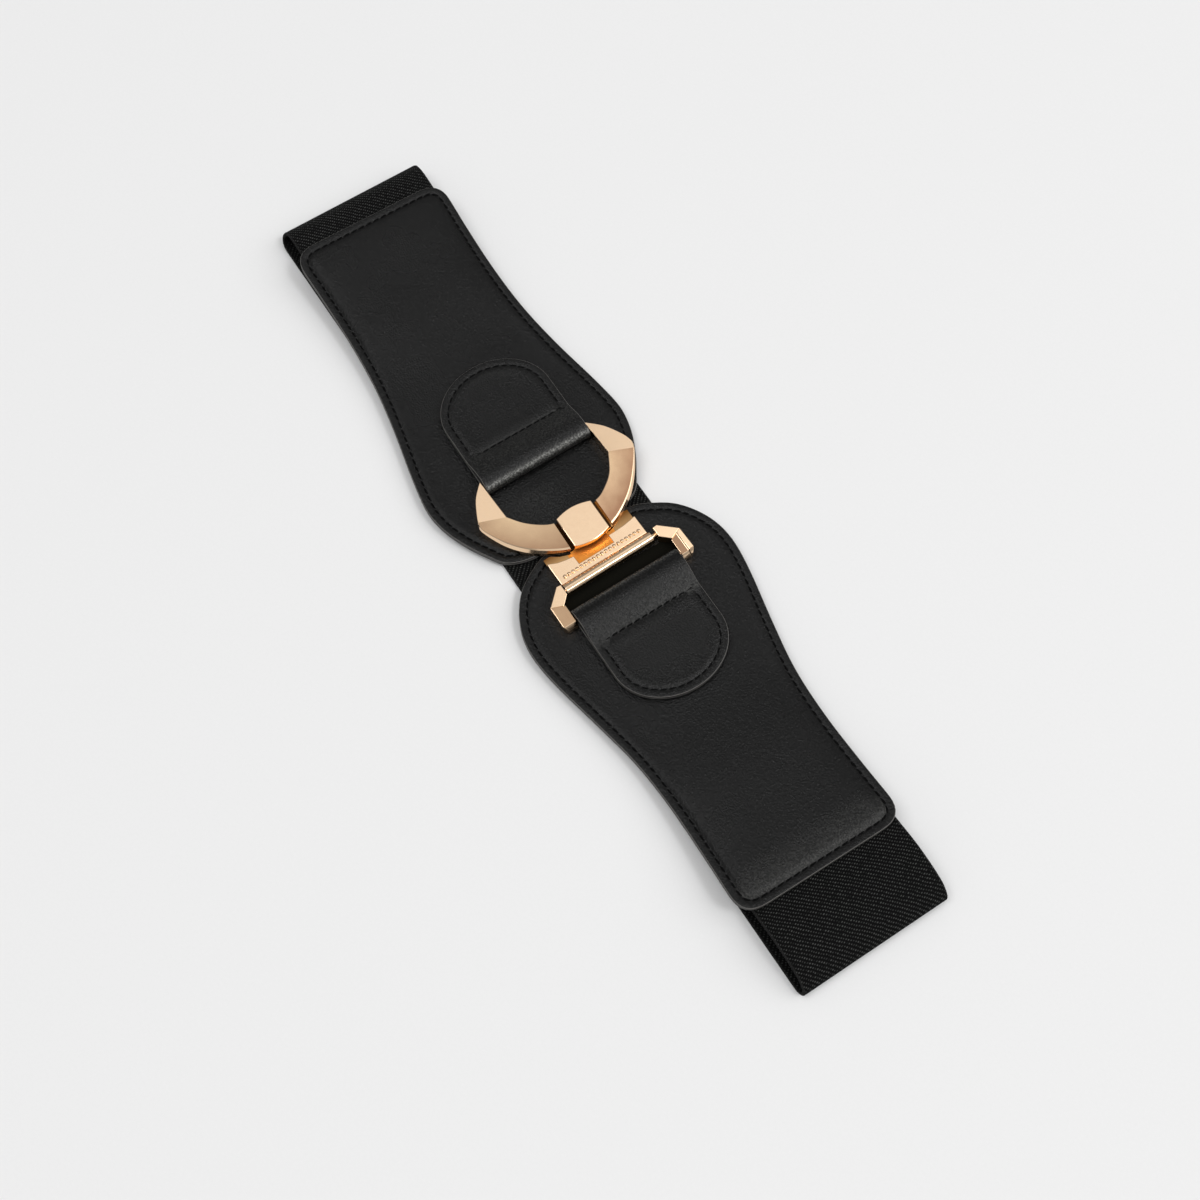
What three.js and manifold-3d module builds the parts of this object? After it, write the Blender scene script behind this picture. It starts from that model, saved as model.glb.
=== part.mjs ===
// Wide elastic belt with two shaped leather paddles and a ring-and-hook buckle, fastened.
// It lies on its back stretch, with the buckle upwards and the waist hollow pressed nearly flat.
// Millimetres. X runs along the belt, Y across it and Z up. The origin is the middle of the
// underside of the back stretch.

import * as THREE from 'three';
import { mergeVertices } from 'three/addons/utils/BufferGeometryUtils.js';
import Module from 'manifold-3d';

const wasm = await Module();
wasm.setup();

// Air between pieces that touch on the real belt.
const air = 0.3;

// Elastic webbing: one strip that runs from paddle to paddle round the back, with two folds.
const web = {
  width: 60,
  thickness: 1.5,
  lap: 22,          // length sewn under each paddle's square end
  steps: 8          // points along each bend
};
const foldA = { x: -170.4, radius: 4.8 };
const foldB = { x: 186.2, noseHeight: 4.15, crestX: 167, crestTop: 10.25, floorX: 181.6 };

// Leather paddles: a face and a backing of the same outline, sewn together all round.
// Each row of an outline is a distance from the buckle's middle and the half width there.
const ply = 1.2;
const flatReach = 45;       // the paddles lie flat this far out and then rise to their ends
const endCorner = 7;
const paddleA = {
  side: -1,
  noseX: 3.2,
  endX: -155.2,
  endTop: 11.4,
  shiftY: -2.5,
  turn: -1.1,
  outline: [
    { out: -3.0, half: 19.5 },
    { out: 0, half: 28.0 },
    { out: 5, half: 31.5 },
    { out: 12, half: 35.8 },
    { out: 20, half: 39.5 },
    { out: 27, half: 41.5 },
    { out: 35, half: 42.2 },
    { out: 50, half: 40.0 },
    { out: 70, half: 36.1 },
    { out: 90, half: 33.2 },
    { out: 110, half: 32.1 },
    { out: 130, half: 32.2 },
    { out: 148.2, half: 32.8 }
  ]
};
const paddleB = {
  side: 1,
  noseX: 4.0,
  endX: 155.6,
  endTop: 11.8,
  shiftY: 2.3,
  turn: -0.8,
  outline: [
    { out: 4.2, half: 20.5 },
    { out: 10, half: 31.0 },
    { out: 15, half: 36.1 },
    { out: 21, half: 39.9 },
    { out: 28, half: 42.5 },
    { out: 37, half: 43.3 },
    { out: 50, half: 41.6 },
    { out: 70, half: 37.3 },
    { out: 90, half: 33.5 },
    { out: 110, half: 32.2 },
    { out: 130, half: 32.4 },
    { out: 148.6, half: 33 }
  ]
};

// Leather tabs: each is folded round a bar of the buckle and sewn down on its paddle.
const tab = {
  thickness: 1.4,
  length: 49,
  half: 22.7,
  seam: 16,           // from the fold to the straight seam
  roundLength: 19,    // length of the elliptical end
  steps: 12
};
const tabA = { side: -1, foldX: -27, shiftY: 1.2 };
const tabB = { side: 1, foldX: 29, shiftY: 1.2 };

// Cast buckle: the ring with its horns and bar, the hook, and the lug frame that hinges on it.
const barRadius = 1.5;
const castBase = 4.8;
const ring = {
  top: 9.9,
  shiftY: 1.2,
  hornInnerY: 23,
  hornTipX: -32.3,
  hornDrop: 1.0,      // how far the horn's top falls from the crease to its tip
  creaseX: -16.5,
  noseHalf: 9.3,      // half length of the thin nose that the hook takes
  noseLow: 6.5,
  noseTop: 9.0,
  sliceSteps: 2,      // points between two rows of its outlines
  outer: [
    { x: -27.5, y: 28.0 },
    { x: -22, y: 31.4 },
    { x: -17.5, y: 33.0 },
    { x: -14, y: 32.6 },
    { x: -5, y: 27.8 },
    { x: 2, y: 21.3 },
    { x: 7.3, y: 13 },
    { x: 9.5, y: 5.5 },
    { x: 10, y: 0 }
  ],
  inner: [
    { x: -15.5, y: 23 },
    { x: -10, y: 19 },
    { x: -6, y: 14.5 },
    { x: -3.4, y: 9.8 },
    { x: -2.9, y: 5 },
    { x: -2.9, y: 0 }
  ]
};
const hook = {
  shiftY: 0.5,
  baseTop: 6.2,
  blockLow: 9.3,
  blockTop: 11.5,
  blockHalf: 7.6,
  blockFrontX: -3.3,
  blockFrontBulge: 1.6,
  blockRearX: 9.8,
  blockRearBulge: 1.5,
  plateFrontX: 6,
  ledgeEndX: 10.6,
  plateRearX: 18.4,
  plateHalf: 18.9,
  plateTop: 8.3,
  pocketEndX: 15,
  pocketHalf: 7.1,
  grooveWidth: 0.5
};
const hinge = {
  x: 20.8,
  z: 7.2,
  barrelRadius: 2.3,
  barrelHalf: 19.0,
  pinRadius: 0.9,
  pinHalf: 22.4,
  boreRadius: 1.2
};
const lug = {
  shiftY: 1.2,
  top: 9.6,
  outline: [
    { x: 18.6, y: 20.2 },
    { x: 18.4, y: 22.0 },
    { x: 24.2, y: 28.4 },
    { x: 33.4, y: 28.5 },
    { x: 35.2, y: 27.4 },
    { x: 35.2, y: 23.9 },
    { x: 26.0, y: 23.7 },
    { x: 22.8, y: 20.2 }
  ]
};

// Colours and finishes of the three materials.
const blackLeather = { color: 0x242424, roughness: 0.5, metalness: 0 };
const blackWebbing = { color: 0x1a1a1a, roughness: 0.9, metalness: 0 };
const roseGold = { color: 0xe2b78c, roughness: 0.18, metalness: 1 };

const roundSides = 20;

// A named mesh with a material of its own.
function piece(name, geometry, finish) {
  const mesh = new THREE.Mesh(geometry, new THREE.MeshStandardMaterial(finish));
  mesh.name = name;
  return mesh;
}

// A closed geometry as a solid that can be joined and cut. Triangles that merging has
// flattened to a line are dropped.
function toSolid(geometry) {
  const bare = geometry.clone();
  bare.deleteAttribute('normal');
  bare.deleteAttribute('uv');
  const merged = mergeVertices(bare, 1e-5);
  const corners = merged.index.array;
  const triangles = [];
  for (let start = 0; start < corners.length; start += 3) {
    const [a, b, c] = corners.slice(start, start + 3);
    if (a !== b && b !== c && c !== a) {
      triangles.push(a, b, c);
    }
  }
  return new wasm.Manifold(new wasm.Mesh({
    numProp: 3,
    vertProperties: new Float32Array(merged.attributes.position.array),
    triVerts: new Uint32Array(triangles)
  }));
}

// A joined or cut solid as a geometry with flat facets.
function toGeometry(solid) {
  const mesh = solid.getMesh();
  const geometry = new THREE.BufferGeometry();
  geometry.setAttribute('position', new THREE.BufferAttribute(mesh.vertProperties, 3));
  geometry.setIndex(new THREE.BufferAttribute(mesh.triVerts, 1));
  geometry.computeVertexNormals();
  return geometry;
}

// An outline in plan, raised from one height to another.
function standing(shape, low, high, curveSteps = tab.steps) {
  const geometry = new THREE.ExtrudeGeometry(shape, {
    depth: high - low,
    bevelEnabled: false,
    curveSegments: curveSteps
  });
  return geometry.translate(0, 0, low);
}

// A side profile in X and Z, widened across Y by the same half width both ways.
function across(shape, half) {
  const geometry = new THREE.ExtrudeGeometry(shape, {
    depth: 2 * half,
    bevelEnabled: false,
    curveSegments: tab.steps
  });
  return geometry.rotateX(Math.PI / 2).translate(0, half, 0);
}

function block(lowX, highX, half, low, high) {
  const geometry = new THREE.BoxGeometry(highX - lowX, 2 * half, high - low);
  return geometry.translate((lowX + highX) / 2, 0, (low + high) / 2);
}

// A round rod along Y, centred on y = 0.
function rod(radius, half, x, z) {
  const geometry = new THREE.CylinderGeometry(radius, radius, 2 * half, roundSides);
  return geometry.translate(x, 0, z);
}

// How far a paddle has risen above its flat middle at a place along the belt.
function rise(paddle, x) {
  const full = paddle.endTop - (web.thickness + 2 * air + 2 * ply);
  const reach = Math.abs(paddle.endX) - flatReach;
  const along = Math.max(0, (Math.abs(x) - flatReach) / reach);
  return full * along * along;
}

function paddleUnder(paddle, x) {
  return web.thickness + air + rise(paddle, x);
}

function paddleTop(paddle, x) {
  return paddleUnder(paddle, x) + 2 * ply + air;
}

// Webbing: its middle line in X and Z from one lapped end round both folds to the other.
function webLine() {
  const halfThick = web.thickness / 2;
  const lapSteps = 4;
  const under = (paddle, x) => paddleUnder(paddle, x) - air - halfThick;
  const line = new THREE.Path();
  const endA = paddleA.endX;
  const endB = paddleB.endX;

  line.moveTo(endA + web.lap, under(paddleA, endA + web.lap));
  for (let step = 1; step <= lapSteps; step += 1) {
    const x = endA + web.lap * (1 - step / lapSteps);
    line.lineTo(x, under(paddleA, x));
  }

  const bendA = foldA.radius - halfThick;
  const centreA = foldA.x + foldA.radius;
  const crestA = 2 * foldA.radius - halfThick;
  line.bezierCurveTo(endA - 3, under(paddleA, endA) + 0.4, centreA + 3, crestA, centreA, crestA);
  line.absarc(centreA, foldA.radius, bendA, Math.PI / 2, 1.5 * Math.PI, false);

  line.lineTo(foldB.floorX, halfThick);

  const noseB = foldB.x - halfThick;
  const crestB = foldB.crestTop - halfThick;
  line.bezierCurveTo(foldB.floorX + 2.2, halfThick, noseB, 1.9, noseB, foldB.noseHeight - halfThick);
  line.bezierCurveTo(noseB, 6.2, foldB.crestX + 9, crestB, foldB.crestX, crestB);
  line.bezierCurveTo(foldB.crestX - 4, crestB, endB + 3, under(paddleB, endB) + 0.4,
    endB, under(paddleB, endB));

  for (let step = 1; step <= lapSteps; step += 1) {
    const x = endB - web.lap * step / lapSteps;
    line.lineTo(x, under(paddleB, x));
  }
  return line.getPoints(web.steps).filter((point, index, all) =>
    index === 0 || point.distanceTo(all[index - 1]) > 0.01);
}

// A strip of even thickness whose middle line is given, with mitred corners.
function stripShape(points, thickness) {
  const last = points.length - 1;
  const normals = points.slice(1).map((point, index) => {
    const along = point.clone().sub(points[index]).normalize();
    return new THREE.Vector2(-along.y, along.x);
  });
  const left = [];
  const right = [];
  points.forEach((point, index) => {
    const before = normals[Math.max(0, index - 1)];
    const after = normals[Math.min(last - 1, index)];
    const mitre = thickness / 2 / (1 + before.dot(after));
    const out = before.clone().add(after).multiplyScalar(mitre);
    left.push(point.clone().add(out));
    right.push(point.clone().sub(out));
  });
  return new THREE.Shape(left.concat(right.reverse()));
}

function elasticBand() {
  return toGeometry(toSolid(across(stripShape(webLine(), web.thickness), web.width / 2)));
}

// The stations of a paddle: the place along X and the half width, from low X to high X.
function paddleStations(paddle) {
  const rows = paddle.outline;
  const end = Math.abs(paddle.endX);
  const last = rows[rows.length - 1];
  const noseInset = 4;
  const edge = new THREE.Path();
  edge.moveTo(paddle.side * paddle.noseX, rows[0].half - noseInset);
  edge.lineTo(rows[0].out, rows[0].half);
  edge.splineThru(rows.slice(1).map((row) => new THREE.Vector2(row.out, row.half)));
  edge.absarc(end - endCorner, last.half - endCorner, endCorner, Math.PI / 2, 0, true);
  const stations = edge.getPoints(3).map((point) => ({ x: paddle.side * point.x, half: point.y }));
  return stations.sort((a, b) => a.x - b.x);
}

// One ply of a paddle, lifted above the underside of the pair.
function paddlePly(paddle, lift) {
  const stations = paddleStations(paddle);
  const spans = stations.length - 1;
  const geometry = new THREE.BoxGeometry(1, 1, 1, spans, 1, 1);
  const position = geometry.attributes.position;
  for (let index = 0; index < position.count; index += 1) {
    const station = stations[Math.round((position.getX(index) + 0.5) * spans)];
    const low = paddleUnder(paddle, station.x) + lift;
    const y = 2 * position.getY(index) * station.half;
    position.setXYZ(index, station.x, y, low + (position.getZ(index) + 0.5) * ply);
  }
  geometry.computeVertexNormals();
  return geometry;
}

function paddleGroup(paddle, letter) {
  const group = new THREE.Group();
  group.add(piece(`paddle_${letter}_backing`, paddlePly(paddle, 0), blackLeather));
  group.add(piece(`paddle_${letter}_face`, paddlePly(paddle, ply + air), blackLeather));
  group.rotation.z = THREE.MathUtils.degToRad(paddle.turn);
  group.position.y = paddle.shiftY;
  return group;
}

// Where the bar runs inside a tab's fold, and the sizes of the fold round it.
function tabFold(paddle, place) {
  const eye = barRadius + air;
  const loop = eye + tab.thickness;
  const bottom = paddleTop(paddle, place.foldX) + air;
  return { eye, loop, bottom, x: place.foldX + place.side * loop, z: bottom + loop };
}

// A tab seen from the side: double on the paddle, and rising from its seam over the fold.
function tabProfile(paddle, place) {
  const { side, foldX } = place;
  const fold = tabFold(paddle, place);
  const base = (x) => paddleTop(paddle, x) + air;
  const top = (x) => base(x) + 2 * tab.thickness;
  const seamX = foldX + side * tab.seam;
  const endX = foldX + side * tab.length;
  const midX = (seamX + endX) / 2;
  const profile = new THREE.Shape();
  profile.moveTo(endX, base(endX));
  profile.lineTo(endX, top(endX));
  profile.lineTo(midX, top(midX));
  profile.lineTo(seamX, top(seamX));
  profile.bezierCurveTo(seamX - side * 5, top(seamX), fold.x + side * 6, fold.z + fold.loop,
    fold.x, fold.z + fold.loop);
  profile.absarc(fold.x, fold.z, fold.loop, Math.PI / 2, side * Math.PI + Math.PI / 2, side < 0);
  profile.lineTo(seamX, base(seamX));
  profile.lineTo(midX, base(midX));
  profile.closePath();
  return profile;
}

// The hollow inside the fold, round where the bar runs and tapering to the seam.
function tabEye(paddle, place) {
  const { side, foldX } = place;
  const fold = tabFold(paddle, place);
  const floor = fold.bottom + tab.thickness;
  const tipX = foldX + side * (tab.seam - 4);
  const hollow = new THREE.Shape();
  hollow.moveTo(tipX, floor);
  hollow.bezierCurveTo(tipX - side * 3, floor + 0.6, fold.x + side * 5, fold.z + fold.eye,
    fold.x, fold.z + fold.eye);
  hollow.absarc(fold.x, fold.z, fold.eye, Math.PI / 2, side * Math.PI + Math.PI / 2, side < 0);
  hollow.closePath();
  return hollow;
}

// The tab's plan: square at the fold, with an elliptical end.
function tabPlan(place) {
  const { side, foldX } = place;
  const roundX = foldX + side * (tab.length - tab.roundLength);
  const margin = 1;
  const plan = new THREE.Shape();
  plan.moveTo(foldX - side * margin, -tab.half);
  plan.lineTo(roundX, -tab.half);
  plan.absellipse(roundX, 0, tab.roundLength, tab.half,
    -Math.PI / 2, side > 0 ? Math.PI / 2 : -1.5 * Math.PI, side < 0, 0);
  plan.lineTo(foldX - side * margin, tab.half);
  plan.closePath();
  return plan;
}

function tabGeometry(paddle, place) {
  const high = 20;
  const folded = toSolid(across(tabProfile(paddle, place), tab.half + 1))
    .subtract(toSolid(across(tabEye(paddle, place), tab.half + 2)));
  return toGeometry(folded.intersect(toSolid(standing(tabPlan(place), 0, high))));
}

// Ring: a horseshoe with pointed horns, closed by a straight bar inside tab A's fold.
function ringPlan() {
  const curve = (rows, sign) => rows.map((row) => new THREE.Vector2(row.x, sign * row.y));
  const outerUp = curve(ring.outer, 1);
  const outerDown = curve(ring.outer.slice(0, -1), -1).reverse();
  const innerDown = curve(ring.inner.slice(0, -1), -1);
  const innerUp = curve(ring.inner, 1).reverse();
  const plan = new THREE.Shape();
  plan.moveTo(ring.hornTipX, ring.hornInnerY);
  plan.splineThru(outerUp.concat(outerDown));
  plan.lineTo(ring.hornTipX, -ring.hornInnerY);
  plan.lineTo(innerDown[0].x, innerDown[0].y);
  plan.splineThru(innerDown.slice(1).concat(innerUp));
  plan.closePath();
  return plan;
}

function ringGeometry() {
  const bar = tabFold(paddleA, tabA);
  const over = 5;
  const hornLength = ring.creaseX - ring.hornTipX;
  const slope = new THREE.Shape([
    new THREE.Vector2(ring.creaseX, ring.top),
    new THREE.Vector2(ring.creaseX, ring.top + over),
    new THREE.Vector2(ring.hornTipX - 1, ring.top + over),
    new THREE.Vector2(ring.hornTipX - 1, ring.top - ring.hornDrop * (hornLength + 1) / hornLength)
  ]);
  const nearNose = (low, high) =>
    toSolid(block(ring.creaseX, hook.plateRearX, ring.noseHalf, low, high));
  const body = toSolid(standing(ringPlan(), castBase, ring.top, ring.sliceSteps))
    .subtract(toSolid(across(slope, 2 * ring.hornInnerY)))
    .subtract(nearNose(ring.noseTop, ring.top + over))
    .subtract(nearNose(0, ring.noseLow))
    .add(toSolid(rod(barRadius, ring.hornInnerY + 1, bar.x, bar.z)));
  return toGeometry(body);
}

// Hook: a plate with a pocket and a block that folds over the ring's nose, and the hinge barrel.
function hookBlockPlan(low) {
  const front = hook.blockFrontX;
  const rear = low ? hook.ledgeEndX + 1 : hook.blockRearX;
  const rearBulge = low ? 0 : hook.blockRearBulge;
  const plan = new THREE.Shape();
  plan.moveTo(rear, -hook.blockHalf);
  plan.quadraticCurveTo(rear + 2 * rearBulge, 0, rear, hook.blockHalf);
  plan.lineTo(front, hook.blockHalf);
  plan.quadraticCurveTo(front - 2 * hook.blockFrontBulge, 0, front, -hook.blockHalf);
  plan.closePath();
  return plan;
}

function hookGeometry() {
  const over = 5;
  const weld = 0.01;
  const ringHere = (shiftX) => {
    const geometry = standing(ringPlan(), 0, castBase + over, ring.sliceSteps);
    return toSolid(geometry.translate(shiftX, ring.shiftY - hook.shiftY, 0));
  };
  const throat = toSolid(block(hook.blockFrontX, hook.ledgeEndX + over, 2 * hook.blockHalf,
    hook.baseTop, hook.blockLow));
  const clasp = toSolid(standing(hookBlockPlan(false), hook.baseTop - weld, hook.blockTop))
    .subtract(throat)
    .add(toSolid(standing(hookBlockPlan(true), castBase, hook.baseTop)));
  const ledge = toSolid(block(hook.plateFrontX, hook.ledgeEndX + weld, hook.plateHalf,
    castBase, hook.baseTop))
    .subtract(ringHere(air))
    .subtract(ringHere(0));
  const pocket = toSolid(block(hook.ledgeEndX - 1, hook.pocketEndX, hook.pocketHalf,
    hook.baseTop, hook.plateTop + over));
  const groove = toSolid(block(hook.plateRearX, hook.plateRearX + hook.grooveWidth,
    2 * hook.plateHalf, hook.plateTop - hook.grooveWidth, hook.plateTop + over));
  const plate = toSolid(block(hook.ledgeEndX, hinge.x, hook.plateHalf, castBase, hook.plateTop));
  const body = clasp
    .add(ledge)
    .add(plate.subtract(pocket).subtract(groove))
    .add(toSolid(rod(hinge.barrelRadius, hinge.barrelHalf, hinge.x, hinge.z)))
    .subtract(toSolid(rod(hinge.boreRadius, 2 * hinge.barrelHalf, hinge.x, hinge.z)));
  return toGeometry(body);
}

// Lug frame: two bent lugs held by a straight bar inside tab B's fold.
function lugGeometry() {
  const bar = tabFold(paddleB, tabB);
  const arm = (sign) => {
    const points = lug.outline.map((row) => new THREE.Vector2(row.x, sign * row.y));
    return toSolid(standing(new THREE.Shape(sign > 0 ? points : points.reverse()), castBase, lug.top));
  };
  const body = arm(1)
    .add(arm(-1))
    .add(toSolid(rod(barRadius, lug.outline[6].y + 1, bar.x, bar.z)))
    .subtract(toSolid(rod(hinge.boreRadius, 2 * hinge.pinHalf, hinge.x, hinge.z)));
  return toGeometry(body);
}

// Everything is placed where it lies when the belt is fastened.
const belt = new THREE.Group();
belt.add(piece('elastic_band', elasticBand(), blackWebbing));
belt.add(paddleGroup(paddleA, 'a'));
belt.add(paddleGroup(paddleB, 'b'));

const tabPieceA = piece('tab_a', tabGeometry(paddleA, tabA), blackLeather);
tabPieceA.position.y = tabA.shiftY;
const tabPieceB = piece('tab_b', tabGeometry(paddleB, tabB), blackLeather);
tabPieceB.position.y = tabB.shiftY;
belt.add(tabPieceA, tabPieceB);

const ringPiece = piece('ring', ringGeometry(), roseGold);
ringPiece.position.y = ring.shiftY;
const hookPiece = piece('hook_plate', hookGeometry(), roseGold);
hookPiece.position.y = hook.shiftY;
const lugPiece = piece('lug_frame', lugGeometry(), roseGold);
lugPiece.position.y = lug.shiftY;
const pinPiece = piece('hinge_pin', rod(hinge.pinRadius, hinge.pinHalf, hinge.x, hinge.z), roseGold);
pinPiece.position.y = lug.shiftY;
belt.add(ringPiece, hookPiece, lugPiece, pinPiece);

export default belt;
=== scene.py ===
# Wide elastic belt with leather paddles and a ring-and-hook buckle, fastened and lying flat.
# Metres, in the CAD's frame: X runs along the belt, Y across it and Z up from the floor.

import math
from contextlib import contextmanager
from functools import partial

import bmesh
import bpy
import numpy as np
from mathutils import Matrix, Vector


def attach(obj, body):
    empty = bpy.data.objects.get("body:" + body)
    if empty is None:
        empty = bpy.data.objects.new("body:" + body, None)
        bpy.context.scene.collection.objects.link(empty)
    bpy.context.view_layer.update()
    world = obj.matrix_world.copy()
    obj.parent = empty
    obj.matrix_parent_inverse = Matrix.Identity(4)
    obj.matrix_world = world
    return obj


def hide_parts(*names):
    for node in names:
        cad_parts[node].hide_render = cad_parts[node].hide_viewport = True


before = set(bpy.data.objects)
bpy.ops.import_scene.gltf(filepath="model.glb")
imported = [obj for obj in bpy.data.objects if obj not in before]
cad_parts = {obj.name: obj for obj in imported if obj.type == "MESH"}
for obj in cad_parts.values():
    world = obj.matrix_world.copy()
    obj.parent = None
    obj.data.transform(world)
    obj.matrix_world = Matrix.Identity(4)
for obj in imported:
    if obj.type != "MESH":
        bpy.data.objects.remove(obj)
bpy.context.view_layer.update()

# Floor, light and camera.
# The belt lies on a plain pale studio floor, in soft light from the right of the picture, with a
# bright panel overhead that the polished buckle mirrors.

mm = 0.001


def paint(hex_colour):
    """An sRGB colour such as EDEDED as linear red, green, blue and alpha."""
    shares = [int(hex_colour[start:start + 2], 16) / 255 for start in (0, 2, 4)]
    linear = [s / 12.92 if s <= 0.04045 else ((s + 0.055) / 1.055) ** 2.4 for s in shares]
    return (*linear, 1)


def feed(node, inputs):
    """Sets inputs of a node, each from a value, a socket or the first live output of a node."""
    for name, source in inputs.items():
        if isinstance(source, bpy.types.Node):
            source = next(output for output in source.outputs if output.enabled)
        if isinstance(source, bpy.types.NodeSocket):
            node.id_data.links.new(source, node.inputs[name])
        else:
            node.inputs[name].default_value = source


def add_node(tree, kind, inputs=None, **settings):
    """Adds a shader node of a kind, with its settings and what feeds its inputs."""
    node = tree.nodes.new("ShaderNode" + kind)
    for name, value in settings.items():
        setattr(node, name, value)
    feed(node, inputs or {})
    return node


def new_material(name):
    """A material that holds only its shader and output, and add_node for its own tree."""
    material = bpy.data.materials.new(name)
    material.use_nodes = True
    tree = material.node_tree
    tree.nodes.clear()
    add = partial(add_node, tree)
    shader = add("BsdfPrincipled")
    add("OutputMaterial", {"Surface": shader})
    return material, shader, add


def two_tone(name, size, detail, dark, light):
    """A material in two colours, mottled by noise of a size, in the piece's own coordinates.

    Returns the coordinates, the noise and the mixed tone too, to build on.
    """
    material, shader, add = new_material(name)
    place = add("TexCoord").outputs["Object"]
    noise = add("TexNoise", {"Vector": place, "Scale": 1 / size, "Detail": detail})
    tone = add("Mix", {"Factor": noise, "A": paint(dark), "B": paint(light)}, data_type="RGBA")
    feed(shader, {"Base Color": tone})
    return material, shader, add, place, noise, tone


def add_piece(primitive, name, **settings):
    """Adds a primitive under a name, with nothing else selected."""
    bpy.ops.object.select_all(action="DESELECT")
    primitive(**settings)
    piece = bpy.context.object
    piece.name = name
    return piece


# The floor lies a hair below the webbing, so that their faces don't coincide.
floor = add_piece(
    bpy.ops.mesh.primitive_plane_add, "studio_floor", size=6, location=(0, 0, -0.05 * mm))

# Matt painted card: an even pale grey, with a speckle too faint to see as a pattern.
floor_card, shader, *_ = two_tone("matt_floor_card", 1 / 900, 2, "E6E6E6", "E9E9E9")
feed(shader, {"Roughness": 0.9, "Specular IOR Level": 0.1})
floor.data.materials.append(floor_card)

bpy.ops.object.camera_add(
    location=(0.2342, -0.1418, 0.5892), rotation=(math.radians(22.6), 0, math.radians(57)))
camera = bpy.context.object
camera.data.lens = 52.33
camera.data.sensor_width = 36
camera.data.clip_start = 0.01
bpy.context.scene.camera = camera

world = bpy.data.worlds.new("studio_air")
world.use_nodes = True
world.node_tree.nodes.clear()
sky = add_node(world.node_tree, "Background", {"Color": (1, 1, 1, 1), "Strength": 0.35})
add_node(world.node_tree, "OutputWorld", {"Surface": sky})
bpy.context.scene.world = world
bpy.context.scene.view_settings.view_transform = "Standard"


def panel_light(name, towards, distance, width, power):
    """A square soft panel that looks at the buckle from a direction."""
    direction = Vector(towards).normalized()
    bpy.ops.object.light_add(type="AREA", location=direction * distance)
    lamp = bpy.context.object
    lamp.name = name
    lamp.data.size = width
    lamp.data.energy = power
    lamp.rotation_euler = direction.to_track_quat("Z", "Y").to_euler()


panel_light("ceiling_softbox", (0.32, 0.12, 0.94), 6, 8, 90)
panel_light("overhead_panel", (-0.42, 0.222, 0.88), 4, 1.15, 2.7)
panel_light("right_softbox", (0.40, 0.66, 0.62), 6, 4.4, 100)
panel_light("right_lamp", (0.47, 0.33, 0.83), 5, 1.0, 46)
panel_light("front_softbox", (-0.15, -0.33, 0.93), 6, 3.2, 106)

# Elastic webbing.
# One length of 60 mm black elastic, woven in a fine twill with rubber threads along it. It is
# folded back on itself, a little askew, at both ends and lapped under the paddles' square ends.

air = 0.3
web_width = 60
web_thick = 1.5
web_lap = 22
half_thick = web_thick / 2

# A paddle reaches from its nose to its end, and its outline gives its half width at distances out
# from the buckle's middle. Its top rises to end_top at the square end, it lies askew by a shift
# and a turn in degrees, and its face has a swell inside the ring.
paddle_a = {
    "side": -1, "nose": -3.2, "end": 155.2, "end_top": 11.4, "shift": -2.1, "turn": -1.1,
    "swell": 1,
    "outline": [
        (-3, 19.5), (0, 28), (5, 31.5), (12, 35.8), (20, 39.5), (27, 41.5), (35, 42.2), (50, 40),
        (70, 36.1), (90, 33.2), (110, 32.1), (130, 32.2), (148.2, 32.8)],
}
paddle_b = {
    "side": 1, "nose": 4, "end": 155.6, "end_top": 11.8, "shift": 2.3, "turn": -0.8, "swell": 0,
    "outline": [
        (4.2, 20.5), (10, 31), (15, 36.1), (21, 39.9), (28, 42.5), (37, 43.3), (50, 41.6),
        (70, 37.3), (90, 33.5), (110, 32.2), (130, 32.4), (148.6, 33)],
}
level_until = 45
paddle_and_web = 4.5


def paddle_under(paddle, out):
    """Height of a paddle's underside at distances out from the buckle's middle."""
    along = np.maximum(0, (out - level_until) / (paddle["end"] - level_until))
    return web_thick + air + (paddle["end_top"] - paddle_and_web) * along ** 2


def web_middle(paddle, out):
    """Height of the webbing's middle line where it is lapped under a paddle."""
    return paddle_under(paddle, out) - air - half_thick


def curve_on(line, lead_out, lead_in, end, steps):
    """Carries a line on from its last point along a cubic bend."""
    start = line[-1]
    for step in range(1, steps + 1):
        t = step / steps
        s = 1 - t
        line.append(tuple(
            s ** 3 * a + 3 * s * s * t * b + 3 * s * t * t * c + t ** 3 * d
            for a, b, c, d in zip(start, lead_out, lead_in, end)))


def straight(start, end, longest):
    """Points along a straight run, after its start, none further apart than the longest."""
    steps = max(1, math.ceil(math.dist(start, end) / longest))
    return [tuple(a + (b - a) * k / steps for a, b in zip(start, end)) for k in range(1, steps + 1)]


def lengths_of(line):
    """How far along a line each of its points lies."""
    return np.concatenate([[0], np.cumsum([math.dist(a, b) for a, b in zip(line, line[1:])])])


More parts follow.
